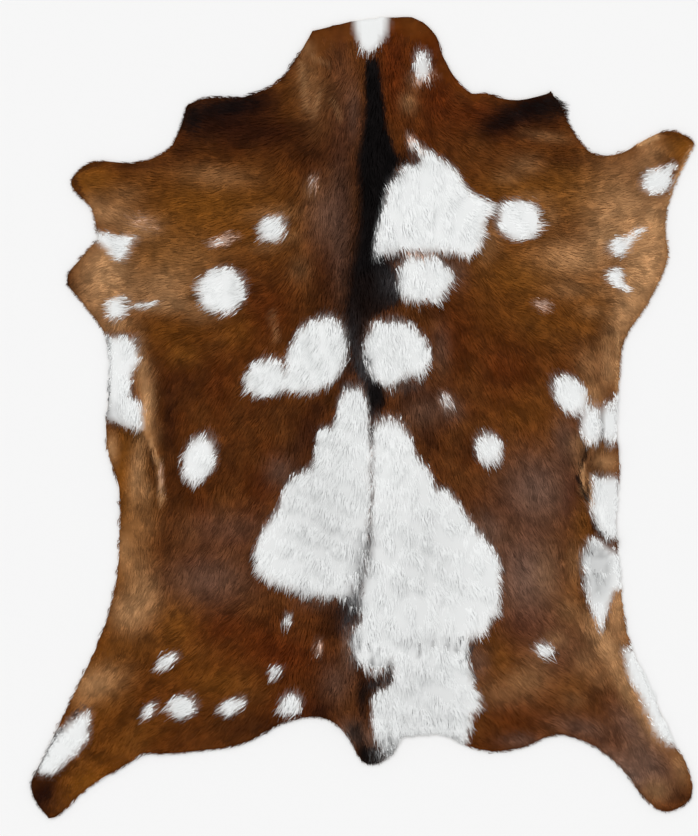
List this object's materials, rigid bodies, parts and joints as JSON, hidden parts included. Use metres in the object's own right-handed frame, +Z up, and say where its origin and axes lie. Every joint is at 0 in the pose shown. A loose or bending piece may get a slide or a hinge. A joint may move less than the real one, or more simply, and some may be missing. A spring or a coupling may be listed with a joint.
{
  "type": "goatskin",
  "caption": "Whole hair-on goat hide, tanned and laid flat with its hair side up, with neck, legs and tail left on.",
  "frame": {"origin": "on the ground, under the middle of the hide's box", "axes": "+Y along the back from the tail to the neck, +X to the hide's right side seen from above, +Z up from the flesh side to the hair side"},
  "size_m": [0.7472, 0.9, 0.0126],
  "materials": {
    "coat": "soft short goat hair, brown with white and black markings",
    "flesh_side": "matt suede, tanned"
  },
  "bodies": {
    "root": {"goatskin": "coat"}
  },
  "joints": []
}
